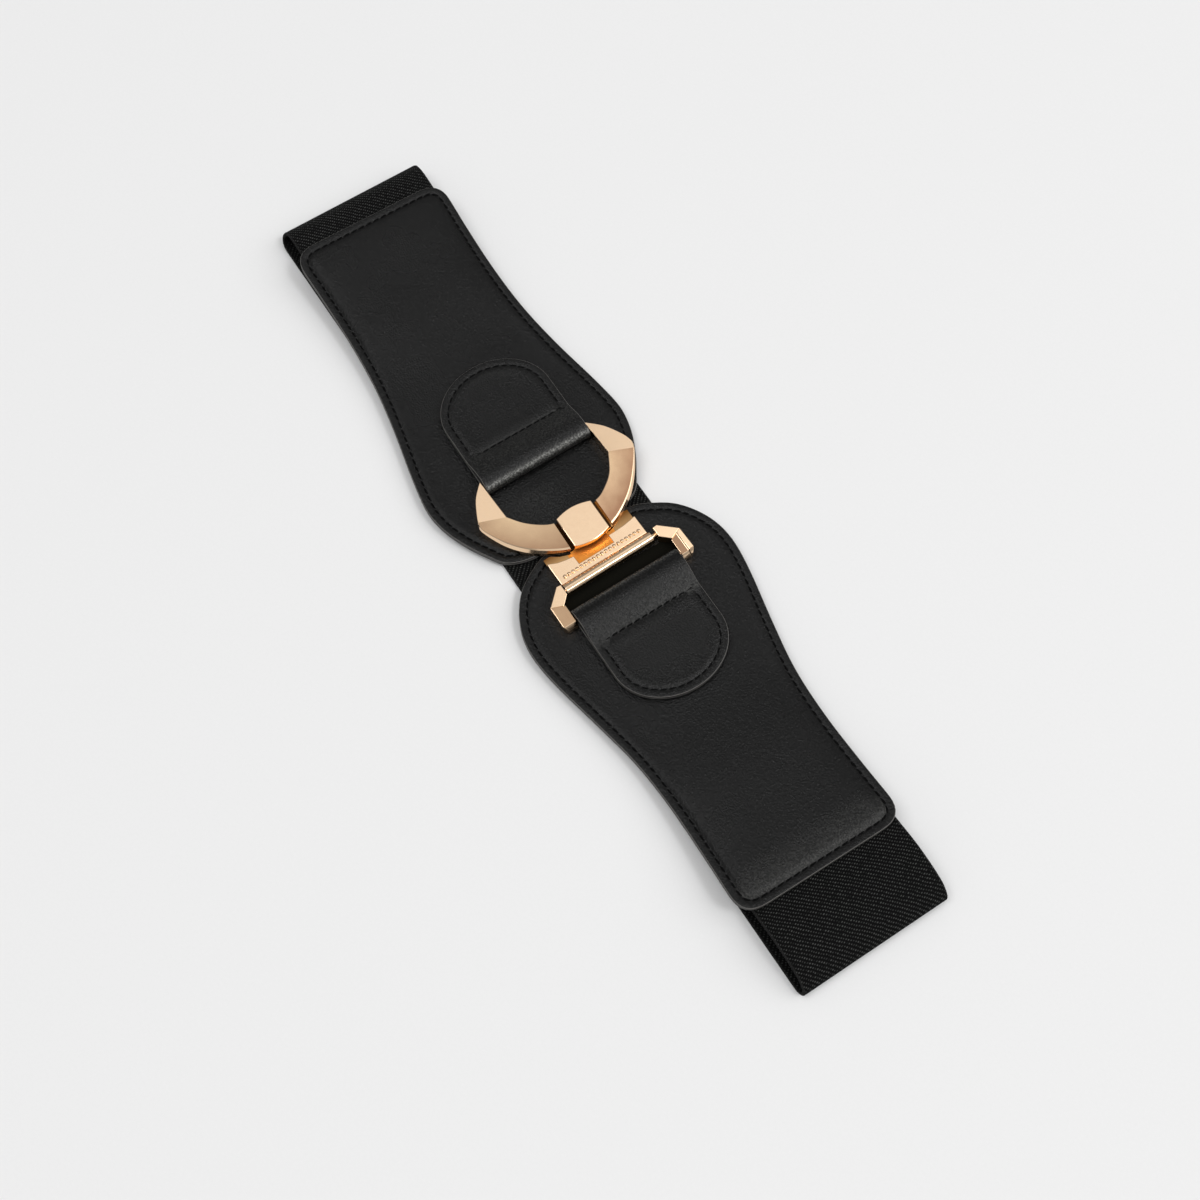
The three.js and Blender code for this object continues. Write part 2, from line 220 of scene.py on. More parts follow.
# The middle line as (along the belt, height): the lap under paddle A, the round fold, the back
# stretch, the flatter fold and the lap under paddle B.
end_a, end_b = paddle_a["end"], paddle_b["end"]
lap_steps = range(0, web_lap + 1, 2)
web_line = [(-out, web_middle(paddle_a, out)) for out in (end_a - web_lap + k for k in lap_steps)]
curve_on(web_line, (-end_a - 3, web_middle(paddle_a, end_a) + 0.5), (-161.6, 9.0), (-164, 8.6), 8)
curve_on(web_line, (-167, 8.1), (-169.65, 6.3), (-169.65, 4.1), 12)
curve_on(web_line, (-169.65, 1.8), (-167.4, half_thick), (-164, half_thick), 10)
web_line += straight(web_line[-1], (181.6, half_thick), 4)
curve_on(web_line, (183.8, half_thick), (185.45, 1.9), (185.45, 3.4), 10)
curve_on(web_line, (185.45, 6.2), (176, 9.5), (167, 9.5), 16)
meets_b = web_middle(paddle_b, end_b)
curve_on(web_line, (163, 9.5), (end_b + 3, meets_b + 0.4), (end_b, meets_b), 8)
web_line += [(out, web_middle(paddle_b, out)) for out in (end_b - k for k in lap_steps[1:])]
web_along = lengths_of(web_line)


def new_grid(name, columns, rows):
    """A grid of points, and the column and row in which each of its points stands."""
    piece = add_piece(
        bpy.ops.mesh.primitive_grid_add, name,
        x_subdivisions=columns - 1, y_subdivisions=rows - 1, size=1)
    return piece, [
        (round((point.co.x + 0.5) * (columns - 1)), round((point.co.y + 0.5) * (rows - 1)))
        for point in piece.data.vertices]


web_rows = 21
web_across = np.linspace(-web_width / 2, web_width / 2, web_rows)
webbing, stands = new_grid("elastic_webbing", len(web_line), web_rows)
uv_layer = webbing.data.uv_layers.active.data
for corner in webbing.data.loops:
    column, row = stands[corner.vertex_index]
    uv_layer[corner.index].uv = (web_along[column] * mm, web_across[row] * mm)
for vertex, (column, row) in zip(webbing.data.vertices, stands):
    x, z = web_line[column]
    raised = min(1, max(0, (z - 1) / 6))
    askew = (0.3 * x / 160 - 0.8) * (1 - raised) + (1.5 if x < 0 else 1.1) * raised
    vertex.co = Vector((x, web_across[row] + askew, z)) * mm


def take(*pieces):
    """Selects only these pieces and makes the first one active."""
    bpy.ops.object.select_all(action="DESELECT")
    for piece in pieces:
        piece.select_set(True)
    bpy.context.view_layer.objects.active = pieces[0]


def finish_with(piece, kind, **settings):
    """Adds a modifier with its settings and applies it."""
    modifier = piece.modifiers.new(kind.lower(), kind)
    for name, value in settings.items():
        setattr(modifier, name, value)
    take(piece)
    bpy.ops.object.modifier_apply(modifier=modifier.name)


@contextmanager
def edit_mode(piece):
    """Edit mode on one piece, at first with all of it selected."""
    take(piece)
    bpy.ops.object.mode_set(mode="EDIT")
    bpy.ops.mesh.select_all(action="SELECT")
    yield
    bpy.ops.object.mode_set(mode="OBJECT")


def finish_surface(piece, degrees):
    """Merges doubled points, turns every face outwards and smooths all but the sharp corners."""
    with edit_mode(piece):
        bpy.ops.mesh.remove_doubles(threshold=0.002 * mm)
        bpy.ops.mesh.normals_make_consistent()
    bpy.ops.object.shade_smooth_by_angle(angle=math.radians(degrees))


finish_with(webbing, "SOLIDIFY", thickness=web_thick * mm, offset=0)
finish_with(
    webbing, "BEVEL", width=0.45 * mm, segments=2, limit_method="ANGLE",
    angle_limit=math.radians(50))
finish_surface(webbing, 60)


def set_share(piece, name, shares):
    """Keeps a share for each point of a piece, for its material to read."""
    piece.data.attributes.new(name, "FLOAT", "POINT").data.foreach_set("value", shares)


# The faces that look into the hollow of a fold get hardly any light, and the cut sides get little.
fold_from = 140 * mm
fold_middle = 4.3 * mm
hollow = []
for vertex in webbing.data.vertices:
    inwards = Vector((-0.03 * vertex.co.x, 0, fold_middle - vertex.co.z)).normalized()
    into = vertex.normal.dot(inwards) if abs(vertex.co.x) > fold_from else 0
    hollow.append(max(0, into, 0.7 * abs(vertex.normal.y)))
set_share(webbing, "hollow", hollow)

# Black polyester over rubber: the yarn floats make short raised beads in diagonal ribs, which
# catch the light as fine grey specks over near-black gaps. A rib is about 1.3 mm wide.
twill, shader, add = new_material("black_twill_elastic")
strip = add("UVMap", uv_map=webbing.data.uv_layers.active.name)
wander = add("TexNoise", {"Vector": strip, "Scale": 260, "Detail": 1})
along = add("SeparateXYZ", {"Vector": strip})


def wave_over_uv(turns_u, turns_v):
    """A wave from 0 to 1 with so many turns a metre along u and v, which wanders a little."""
    u = add("Math", {0: along.outputs["X"], 1: turns_u}, operation="MULTIPLY")
    v = add("Math", {0: along.outputs["Y"], 1: turns_v, 2: u}, operation="MULTIPLY_ADD")
    turns = add("Math", {0: wander, 1: 0.5, 2: v}, operation="MULTIPLY_ADD")
    phase = add("Math", {0: turns, 1: math.tau}, operation="MULTIPLY")
    wave = add("Math", {0: phase}, operation="COSINE")
    return add("Math", {0: wave, 1: 0.5, 2: 0.5}, operation="MULTIPLY_ADD")


rib_along, rib_across = 1.78 * mm, 1.85 * mm
rib = wave_over_uv(1 / rib_along, 1 / rib_across)
bead = wave_over_uv(-2 / rib_along, 1 / rib_across)
lifted = add("Math", {0: bead, 1: 0.9, 2: 0.1}, operation="MULTIPLY_ADD")
weave = add("Math", {0: rib, 1: lifted}, operation="MULTIPLY")
uneven = add("TexNoise", {"Vector": strip, "Scale": 1100, "Detail": 0})
loose = add("Math", {0: uneven, 1: 1.5, 2: 0.15}, operation="MULTIPLY_ADD")
fleck = add("Math", {0: weave, 1: loose}, operation="MULTIPLY")
yarn = add("ValToRGB", {"Fac": fleck})
gap_tone, float_tone = yarn.color_ramp.elements
gap_tone.position, gap_tone.color = 0.1, paint("060606")
float_tone.position, float_tone.color = 0.95, paint("4A4B49")
yarn.color_ramp.elements.new(0.5).color = paint("1F201F")
# The twill is lighter in a narrow band along both edges.
off_centre = add("Math", {0: along.outputs["Y"]}, operation="ABSOLUTE")
edge_band = add("MapRange", {
    "Value": off_centre, "From Min": 29.3 * mm, "From Max": 29.8 * mm, "To Max": 0.7})
tone = add("Mix", {"Factor": edge_band, "A": yarn, "B": paint("343433")}, data_type="RGBA")
in_hollow = add("Attribute", attribute_name="hollow").outputs["Fac"]
unlit = add("Math", {0: in_hollow, 1: 0.9}, operation="MULTIPLY")
tone = add("Mix", {"Factor": unlit, "A": tone, "B": paint("010101")}, data_type="RGBA")
relief = add("Bump", {"Height": weave, "Strength": 0.9, "Distance": 0.3 * mm})
feed(shader, {
    "Base Color": tone, "Normal": relief, "Roughness": 0.75, "Specular IOR Level": 0.06})
webbing.data.materials.append(twill)

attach(webbing, "root")
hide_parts("elastic_band")

# Paddles.
# Each is a face and a backing of black coated leather, cut to one outline, edge-painted and sewn
# together all round, 3 mm from the edge. The stitches pull the face down into a shallow groove.

ply_thick = 1.3
face_lift = 1.4
face_top = face_lift + ply_thick
seam_in = 3.0


def spline(rows, steps):
    """Points along a smooth curve through the rows, with the same steps in each span."""
    last = len(rows) - 1
    made = []
    for span in range(last):
        before, start, end, after = (
            Vector(rows[min(max(k, 0), last)]) for k in range(span - 1, span + 3))
        lead_out = (end - before) / 2
        lead_in = (after - start) / 2
        for step in range(steps):
            t = step / steps
            made.append(
                start * (2 * t ** 3 - 3 * t ** 2 + 1) + end * (3 * t ** 2 - 2 * t ** 3)
                + lead_out * (t ** 3 - 2 * t ** 2 + t) + lead_in * (t ** 3 - t ** 2))
    return [tuple(point) for point in (*made, rows[last])]


def along_line(line, lengths, at):
    """What a line's points come to at some lengths along it."""
    return np.column_stack([np.interp(at, lengths, column) for column in np.transpose(line)])


def evened(outline, spacing):
    """A closed outline with evenly spaced points, its kinks eased a little as a die cuts them."""
    line = outline + outline[:1]
    lengths = lengths_of(line)
    at = np.linspace(0, lengths[-1], round(lengths[-1] / spacing) + 1)[:-1]
    points = along_line(line, lengths, at)
    for _ in range(3):
        points = points / 2 + (np.roll(points, 1, axis=0) + np.roll(points, -1, axis=0)) / 4
    return [tuple(point) for point in points]


def paddle_outline(paddle):
    """The outline in millimetres, as (distance out, across), closed."""
    rows = paddle["outline"]
    corner = 7
    middle = (paddle["end"] - corner, rows[-1][1] - corner)
    upper = [(paddle["nose"], rows[0][1] - 4)]
    upper += straight(upper[0], rows[0], 2)
    upper += spline(rows, 8)[1:]
    for turn in np.radians(np.linspace(90, 0, 11)[1:]):
        upper.append((middle[0] + corner * math.cos(turn), middle[1] + corner * math.sin(turn)))
    return evened(upper + [(out, -half) for out, half in reversed(upper)], 1.8)


def edge_distance(points, outline):
    """How far each point (x, y) lies from a closed outline."""
    start = np.asarray(outline)
    step = np.roll(start, -1, axis=0) - start
    gap = points[:, None] - start
    share = np.clip((gap * step).sum(axis=2) / (step ** 2).sum(axis=1), 0, 1)
    return np.linalg.norm(gap - share[..., None] * step, axis=2).min(axis=1)


def raised_plate(name, outline, low, high, unit=mm):
    """A flat plate cut to an outline, from one height to another."""
    piece = add_piece(
        bpy.ops.mesh.primitive_circle_add, name, vertices=len(outline), fill_type="NGON")
    for vertex, (x, y) in zip(piece.data.vertices, outline):
        vertex.co = Vector((x, y, low)) * unit
    up = (0, 0, (high - low) * unit)
    with edit_mode(piece):
        bpy.ops.mesh.extrude_region_move(TRANSFORM_OT_translate={"value": up})
        bpy.ops.mesh.select_all(action="SELECT")
        bpy.ops.mesh.normals_make_consistent()
    return piece


def pick(piece, kind, wanted):
    """In edit mode, selects only the faces or edges that pass a test."""
    bpy.ops.mesh.select_mode(type=kind)
    bpy.ops.mesh.select_all(action="DESELECT")
    shape = bmesh.from_edit_mesh(piece.data)
    for item in shape.edges if kind == "EDGE" else shape.faces:
        if wanted(item):
            item.select_set(True)
    bmesh.update_edit_mesh(piece.data)


# How far in from the edge rows of faces run, row by row, and the least corners of a face that
# still spans a whole side of the sheet.
edge_rows = [0.35, 0.5, 0.6, 0.5, 0.35, 0.35, 0.35, 0.45, 0.6, 0.8, 0.9]
whole_side = 40


def cut_leather(node, outline, thick, rows_in, cuts_out, cuts_across):
    """A flat sheet cut to an outline, with rounded edges, from z 0 to its thickness.

    It is still in whole millimetres. Rows of faces follow its edge on top, and the middle and the
    underside are cut into a grid. The cut edge has material 1.
    """
    piece = raised_plate(f"{node}_leather", outline, 0, thick, unit=1)
    with edit_mode(piece):
        pick(piece, "FACE", lambda face: abs(face.normal.z) > 0.9)
        bpy.ops.mesh.region_to_loop()
        bpy.ops.mesh.bevel(offset=0.45, segments=3, profile=0.5)
        pick(piece, "FACE", lambda face: len(face.verts) > whole_side and face.normal.z > 0.9)
        for step in rows_in:
            bpy.ops.mesh.inset(thickness=step, use_even_offset=True)
        for face in bmesh.from_edit_mesh(piece.data).faces:
            face.material_index = 1 if len(face.verts) > whole_side else 0
        for axis, cuts in (((1, 0, 0), cuts_out), ((0, 1, 0), cuts_across)):
            for cut in cuts:
                pick(piece, "FACE", lambda face: face.material_index == 1)
                bpy.ops.mesh.bisect(plane_co=Vector(axis) * cut, plane_no=axis, threshold=0.02)
        for face in bmesh.from_edit_mesh(piece.data).faces:
            face.material_index = 1 if abs(face.normal.z) < 0.8 else 0
    return piece


def progress(value, start, width):
    """Rises from 0 at a start to 1, a width further on."""
    return np.clip((value - start) / width, 0, 1)


def bell(value, middle, width):
    """A smooth bump: 1 in the middle, and almost 0 beyond twice the width."""
    return np.exp(-((value - middle) / width) ** 2)


def sewn_relief(distance):
    """Height of sewn leather near its edge: a groove at the stitches and a swell on both sides."""
    return (0.05 * bell(distance, 1.6, 0.8) - 0.28 * bell(distance, seam_in, 0.75)
            + 0.2 * bell(distance, 4.9, 1.5))


def lie_of_hide(x, y):
    """The slow waviness of leather that has been handled."""
    return 0.10 * np.sin(x / 17 + y / 23) * np.cos(y / 14 - x / 41) + 0.05 * np.sin(y / 7 + x / 11)


def set_places(piece, places):
    """Moves a piece's points to places in millimetres."""
    piece.data.vertices.foreach_set("co", (places * mm).ravel())
    piece.data.update()


def get_places(piece):
    flat = np.empty(3 * len(piece.data.vertices))
    piece.data.vertices.foreach_get("co", flat)
    return flat.reshape(-1, 3)


def paddle_place(paddle, places):
    """Turns and shifts places (distance out, across, height) to where the paddle lies."""
    turn = math.radians(paddle["turn"])
    x = paddle["side"] * places[:, 0]
    y = places[:, 1]
    return np.column_stack([
        x * math.cos(turn) - y * math.sin(turn),
        x * math.sin(turn) + y * math.cos(turn) + paddle["shift"],
        places[:, 2]])


# Coated leather: black, satin, with a fine pebble grain that shows only where light glances off
# it, and a few slow changes in gloss from handling. The grain is drawn at 0.7 mm, not
# about 0.4 mm, so that it shows. Its grain peaks are painted grey as far as each point's share
# asks: a painted sheen where the hide turns to the lamps, and a painted highlight on the folds.
leather, shader, add, place, pores, tone = two_tone(
    "black_coated_leather", 0.7 * mm, 2, "030303", "0A0A0A")
feed(pores, {"Roughness": 0.6})
handling = add("TexNoise", {"Vector": place, "Scale": 1 / (18 * mm), "Detail": 2})
gloss = add("MapRange", {"Value": handling, "To Min": 0.22, "To Max": 0.32})
peaks = add("MapRange", {"Value": pores, "From Min": 0.43, "From Max": 0.67})
film = add("Math", {0: peaks, 1: 0.8, 2: 0.2}, operation="MULTIPLY_ADD")
painted_sheen = add("Attribute", attribute_name="painted_sheen").outputs["Fac"]
sheen_on_peaks = add("Math", {0: film, 1: painted_sheen}, operation="MULTIPLY")
tone = add("Mix", {"Factor": sheen_on_peaks, "A": tone, "B": paint("8C8C88")}, data_type="RGBA")
worn = add("Attribute", attribute_name="polish").outputs["Fac"]
flattened = add("Math", {0: worn, 1: -0.5, 2: 1.0}, operation="MULTIPLY_ADD")
relief = add("Bump", {"Height": pores, "Strength": flattened, "Distance": 0.32 * mm})
polished = add("Math", {0: worn, 1: -0.1, 2: gloss}, operation="MULTIPLY_ADD")
feed(shader, {
    "Base Color": tone, "Roughness": polished, "Normal": relief, "Specular IOR Level": 0.22})

# The cut edges: black edge paint, grey where the rounded top corner faces up: partly paint worn
# where things rub, partly a painted highlight.
cut_edge, shader, add, _, fibres, wear_and_highlight_grey = two_tone(
    "edge_paint_wear_and_painted_highlight", 0.7 * mm, 3, "444240", "777470")
facing = add("SeparateXYZ", {"Vector": add("NewGeometry").outputs["Normal"]})
upwards = add("MapRange", {"Value": facing.outputs["Z"], "From Min": 0.3, "From Max": 0.6})
tone = add("Mix", {"Factor": upwards, "A": paint("141413"), "B": wear_and_highlight_grey}, data_type="RGBA")
relief = add("Bump", {"Height": fibres, "Strength": 0.3, "Distance": 0.05 * mm})
feed(shader, {"Base Color": tone, "Normal": relief, "Roughness": 0.5})


def dress_leather(piece, node):
    """Smooths a leather piece, gives it its hide and cut edge and ties it to its CAD node."""
    finish_surface(piece, 50)
    piece.data.materials.append(leather)
    piece.data.materials.append(cut_edge)
    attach(piece, "root")
    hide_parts(node)


def make_ply(paddle, node, lift, sewn):
    """One ply of a paddle. Only the sewn one, the face, has a groove, swells and a padded end."""
    outline = paddle_outline(paddle)
    piece = cut_leather(
        node, outline, ply_thick, edge_rows if sewn else [seam_in],
        np.arange(18, paddle["end"] - 12, 4.5), np.arange(-30, 31, 6))
    places = get_places(piece)
    out, across = places[:, 0], places[:, 1]
    if sewn:
        distance = edge_distance(places[:, :2], outline)
        puff = sewn_relief(distance) + lie_of_hide(out, across) * progress(distance, 4, 8)
        puff += paddle["swell"] * bell(out, 16, 7) * bell(across, -2, 10)
        inside = progress(distance, 3.4, 7)
        puff += 1.2 * progress(out, 85, 25) * inside * (2 - inside)
        places[:, 2] += np.where(places[:, 2] > 0.99 * ply_thick, puff, 0)
        # Painted sheen: faint all over, stronger inside the ring on paddle A and along paddle B's
        # padded end.
        if paddle is paddle_a:
            painted_sheen = 0.06 * bell(out, 13, 8) * bell(across, -6, 12)
        else:
            painted_sheen = 0.15 * bell(distance, 4, 3.5) * progress(out, 143, 7) * (distance > 3.2)
        set_share(piece, "painted_sheen", 0.015 + painted_sheen)
    places[:, 2] += paddle_under(paddle, out) + lift
    set_places(piece, paddle_place(paddle, places))
    dress_leather(piece, node)
    return piece


for letter, paddle in (("a", paddle_a), ("b", paddle_b)):
    make_ply(paddle, f"paddle_{letter}_backing", 0, sewn=False)
    face_ply = make_ply(paddle, f"paddle_{letter}_face", face_lift, sewn=True)

# Between the hook's barrel and the second tab paddle B's face lies in a deep slot. There it takes
# a darker, almost unreflecting black: a painted shade.
slot_shade_leather, shader, *_ = two_tone("black_leather_in_painted_shade", 0.65 * mm, 2, "0B0B09", "15140F")
feed(shader, {"Roughness": 0.8, "Specular IOR Level": 0.03})
face_ply.data.materials.append(slot_shade_leather)
for face in face_ply.data.polygons:
    x, y, _ = face.center / mm
    if 22 < x < 32 and abs(y - 2) < 24 and face.normal.z > 0.5:
        face.material_index = 2

# Lockstitching.
# Black bonded thread, about 0.5 mm thick, in stitches 3.3 mm apart. Each stitch lies a little
# aslant, pulled down into a dark slot that it has pressed into the leather.

stitch_pitch = 3.3
stitch_slant = math.radians(10)

# Twisted filament, black, with a slight gleam along its plies. They are drawn coarser than real.
thread, shader, add = new_material("black_bonded_thread")
place = add("TexCoord").outputs["Object"]
plies = add(
    "TexWave", {"Vector": place, "Scale": 1 / (1.6 * mm), "Distortion": 1.0},
    bands_direction="DIAGONAL").outputs["Fac"]
tone = add("Mix", {"Factor": plies, "A": paint("030303"), "B": paint("0C0C0C")}, data_type="RGBA")
relief = add("Bump", {"Height": plies, "Strength": 0.4, "Distance": 0.05 * mm})
feed(shader, {
    "Base Color": tone, "Normal": relief, "Roughness": 0.7, "Specular IOR Level": 0.06})

# The pressed slot is in shade, so it takes no light of its own and looks like black soot.
needle_hole, shader, *_ = two_tone("needle_hole_shadow", 0.5 * mm, 2, "080808", "111111")
feed(shader, {"Roughness": 1, "Specular IOR Level": 0})


def join_into(main, *others):
    """Joins other pieces into a main one, which keeps its name."""
    take(main, *others)
    bpy.ops.object.join()


# The stitch is made once, in millimetres, along X: its thread and the slot that it lies in.
one_stitch = add_piece(
    bpy.ops.mesh.primitive_uv_sphere_add, "one_stitch", segments=8, ring_count=6, radius=1)
for vertex in one_stitch.data.vertices:
    x, y, z = vertex.co
    vertex.co = (1.2 * z, 0.25 * y, 0.04 - 0.2 * x)
slot = add_piece(
    bpy.ops.mesh.primitive_cylinder_add, "stitch_slot", vertices=12, radius=1, depth=0.16)
slot.data.transform(Matrix.Diagonal((1.4, 0.46, 1, 1)))
for piece in (one_stitch, slot):
    piece.data.materials.append(thread)
    piece.data.materials.append(needle_hole)
for face in slot.data.polygons:
    face.material_index = 1
join_into(one_stitch, slot)
finish_surface(one_stitch, 60)


def sew(name, centres, tangents, normals):
    """Copies the stitch along a row of places in millimetres and joins the copies."""
    copies = []
    for centre, tangent, normal in zip(centres, tangents, normals):
        up = Vector(normal).normalized()
        forward = Vector(tangent)
        forward = (forward - up * forward.dot(up)).normalized()
        forward = Matrix.Rotation(stitch_slant, 3, up) @ forward
        turn = Matrix((forward, up.cross(forward), up)).transposed().to_4x4()
        copy = one_stitch.copy()
        copy.data = one_stitch.data.copy()
        copy.data.transform(Matrix.Scale(mm, 4) @ Matrix.Translation(Vector(centre)) @ turn)
        bpy.context.collection.objects.link(copy)
        copies.append(copy)
    join_into(*copies)
    row = copies[0]
    row.name = name
    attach(row, "root")


def unit(rows):
    return rows / np.linalg.norm(rows, axis=1)[:, None]


def offset_inwards(outline, distance):
    """A closed outline, drawn clockwise, moved inwards by a distance, with mitred corners."""
    points = np.asarray(outline)
    after = unit(np.roll(points, -1, axis=0) - points)
    before = np.roll(after, 1, axis=0)
    heading = unit(before + after)
    lean = np.maximum(0.5, (heading * before).sum(axis=1))[:, None]
    return points + np.column_stack([heading[:, 1], -heading[:, 0]]) * distance / lean


def even_steps(line, pitch):
    """Places along a line at an even pitch, each with its direction."""
    lengths = lengths_of(line)
    count = round(lengths[-1] / pitch)
    at = (np.arange(count) + 0.5) * lengths[-1] / count
    here, ahead, behind = (along_line(line, lengths, at + gap) for gap in (0, 0.4, -0.4))
    return here, ahead - behind


for letter, paddle in (("a", paddle_a), ("b", paddle_b)):
    row = offset_inwards(paddle_outline(paddle), seam_in)
    here, heading = even_steps([*row, row[0]], stitch_pitch)
    top = paddle_under(paddle, here[:, 0]) + face_top + sewn_relief(seam_in)
    rise = paddle_under(paddle, here[:, 0] + 0.5) - paddle_under(paddle, here[:, 0] - 0.5)
    centres = paddle_place(paddle, np.column_stack([here, top]))
    tips = paddle_place(paddle, np.column_stack([here + heading, top + rise * heading[:, 0]]))
    upright = np.column_stack([-paddle["side"] * rise, 0 * rise, 1 + 0 * rise])
    sew(f"paddle_{letter}_stitches", centres, tips - centres, upright)

# Leather tabs.
# A strip of the same leather is wrapped round each bar of the buckle, grain outwards, and sewn
# down through both legs on the paddle: straight across behind the bar and round its D-shaped end.

tab_thick = 1.4
tab_half = 22.7
tab_length = 49
tab_seam = 16
tab_round = 19
tab_shift = 1.2

# Points of the strip's middle line, counted from the end of its lower leg.
leg_steps = 16
fold_steps = 8
fold_low = leg_steps + 2
fold_front = leg_steps + 2 * fold_steps
fold_crest = fold_front + fold_steps // 2


def tab_line(paddle, fold):
    """Middle line of the strip from its lower end round the fold to its upper end."""
    def base(out):
        return paddle_under(paddle, out) + face_top + air

    half = tab_thick / 2
    seam, end, low = fold + tab_seam, fold + tab_length, base(fold)
    line = [(out, base(out) + half) for out in np.linspace(end, fold + 3.2, leg_steps + 1)]
    for bend_points in (
            ((1.2, 0.7), (0.6, 1.6), (0.75, 2.8)), ((0.85, 3.7), (1.1, 4.05), (1.8, 4.4)),
            ((2.7, 4.85), (4.0, 5.55), (5.6, 5.6))):
        curve_on(line, *((fold + u, low + rise) for u, rise in bend_points), fold_steps)
    upper = base(seam) + 3 * half
    curve_on(line, (fold + 9.5, low + 5.6), (seam - 3.2, upper + 0.8), (seam, upper), 14)
    return line + [(out, base(out) + 3 * half) for out in np.linspace(seam, end, 13)[1:]]


def bend(line, along, rise):
    """Places beside a line: along it by a length and off it to its left by a height."""
    lengths = lengths_of(line)
    slope = unit(np.gradient(np.asarray(line), lengths, axis=0))
    heading = unit(along_line(slope, lengths, along))
    left = np.column_stack([-heading[:, 1], heading[:, 0]])
    return along_line(line, lengths, along) + left * rise[:, None], heading, left


def tab_outline(total, stations):
    """The flat strip: straight sides and an elliptical end at each leg."""
    near, far = tab_round, total - tab_round
    between = [s for s in stations if near + 0.5 < s < far - 0.5]
    upper = [(s, tab_half) for s in (near, *between, far)]
    turn = np.linspace(math.pi / 2, -math.pi / 2, 41)[1:-1]
    end = [(far + tab_round * math.cos(a), tab_half * math.sin(a)) for a in turn]
    start = [(near - tab_round * math.cos(a), -tab_half * math.sin(a)) for a in turn]
    return upper + end + [(s, -half) for s, half in reversed(upper)] + start


def make_tab(letter, paddle, fold):
    side = paddle["side"]
    line = tab_line(paddle, fold)
    lengths = lengths_of(line)
    seam_at = lengths[-1] - (tab_length - tab_seam)
    outline = tab_outline(lengths[-1], lengths)
    seam_cuts = [seam_at + gap for gap in (-3, -2, -1.2, -0.6, 0.6, 1.2, 2, 3, 4.5, 6.5, 9)]
    cuts = [lengths[1]]
    for cut in sorted([*lengths[1:-1], *np.arange(3, 45, 3), *seam_cuts]):
        if cut - cuts[-1] > 0.25:
            cuts.append(cut)
    piece = cut_leather(
        f"tab_{letter}", outline, tab_thick, edge_rows, cuts, np.arange(-18, 19, 4.5))
    places = get_places(piece)
    along, across = places[:, 0], places[:, 1]
    distance = edge_distance(places[:, :2], outline)
    puff = progress(along, seam_at - 1.5, 1.5) * sewn_relief(distance)
    puff -= 0.32 * bell(along, seam_at, 0.8) * (distance > 2.2)
    puff += 0.16 * bell(along, seam_at + 3.4, 1.6) * progress(distance, 3, 3)
    places[:, 2] += np.where(places[:, 2] > 0.99 * tab_thick, puff, 0)
    bent, _, _ = bend(line, along, places[:, 2] - tab_thick / 2)
    set_places(piece, np.column_stack([side * bent[:, 0], across + tab_shift, bent[:, 1]]))

    # The fold is polished where it rubs. A painted sheen greys its grain up to the seam, with a
    # painted highlight along the fold's front; on tab A a little painted light also lifts the
    # fold's lower face.
    low, front, crest = (lengths[k] for k in (fold_low, fold_front, fold_crest))
    gleam = np.exp(-((along - crest) / 2.6) ** 4)
    if letter == "a":
        set_share(piece, "polish", 0.2 * gleam)
        level = progress(along, crest + 2.5, 3.5) * (along < seam_at + 1)
        painted_sheen = 0.025 + 0.065 * level + 0.9 * bell(along, front, 0.8)
        painted_sheen += 0.12 * (along < front) * (along > low)
    else:
        set_share(piece, "polish", gleam)
        level = progress(along, crest + 2, seam_at - crest - 2) * (along < seam_at)
        painted_sheen = 0.03 + 0.12 * level * (1 + across / 60) + 0.25 * bell(along, front, 0.9)
    set_share(piece, "painted_sheen", painted_sheen)
    dress_leather(piece, f"tab_{letter}")

    d_row = [(s, y) for s, y in offset_inwards(outline, seam_in) if s > seam_at]
    d_row.sort(key=lambda p: math.atan2(p[1], p[0] - seam_at))
    cross_row = straight((seam_at, seam_in - tab_half), (seam_at, tab_half - seam_in), 1)
    sewn = []
    for row in (d_row, cross_row):
        here, heading = even_steps(row, stitch_pitch)
        at, run, up = bend(line, here[:, 0], np.full(len(here), tab_thick / 2 - 0.26))
        sewn.append(np.column_stack([
            side * at[:, 0], here[:, 1] + tab_shift, at[:, 1],
            side * run[:, 0] * heading[:, 0], heading[:, 1], run[:, 1] * heading[:, 0],
            side * up[:, 0], 0 * up[:, 0], up[:, 1]]))
    sew(f"tab_{letter}_stitches", *np.hsplit(np.vstack(sewn), 3))


make_tab("a", paddle_a, fold=27)
make_tab("b", paddle_b, fold=29)
bpy.data.objects.remove(one_stitch)

# Ring.
# A cast zinc horseshoe, polished and plated in rose gold. Its arms lean slightly outwards from a
# crease, each ends in a pointed horn, and a straight bar between the horns holds the first tab.

# Rose-gold plate over polished zinc: a warm mirror with faint casting waves, so its flats run
# from cream to tan as they turn away from the light.
gold, shader, add, place, haze, _ = two_tone(
    "polished_rose_gold_plate", 1.5 * mm, 3, "ECCBA8", "F2D4B2")
waves = add("TexNoise", {"Vector": place, "Scale": 1 / (5 * mm), "Detail": 1})
gloss = add("MapRange", {"Value": haze, "To Min": 0.10, "To Max": 0.17})
relief = add("Bump", {"Height": waves, "Strength": 0.12, "Distance": 0.1 * mm})
feed(shader, {"Roughness": gloss, "Normal": relief, "Metallic": 1})

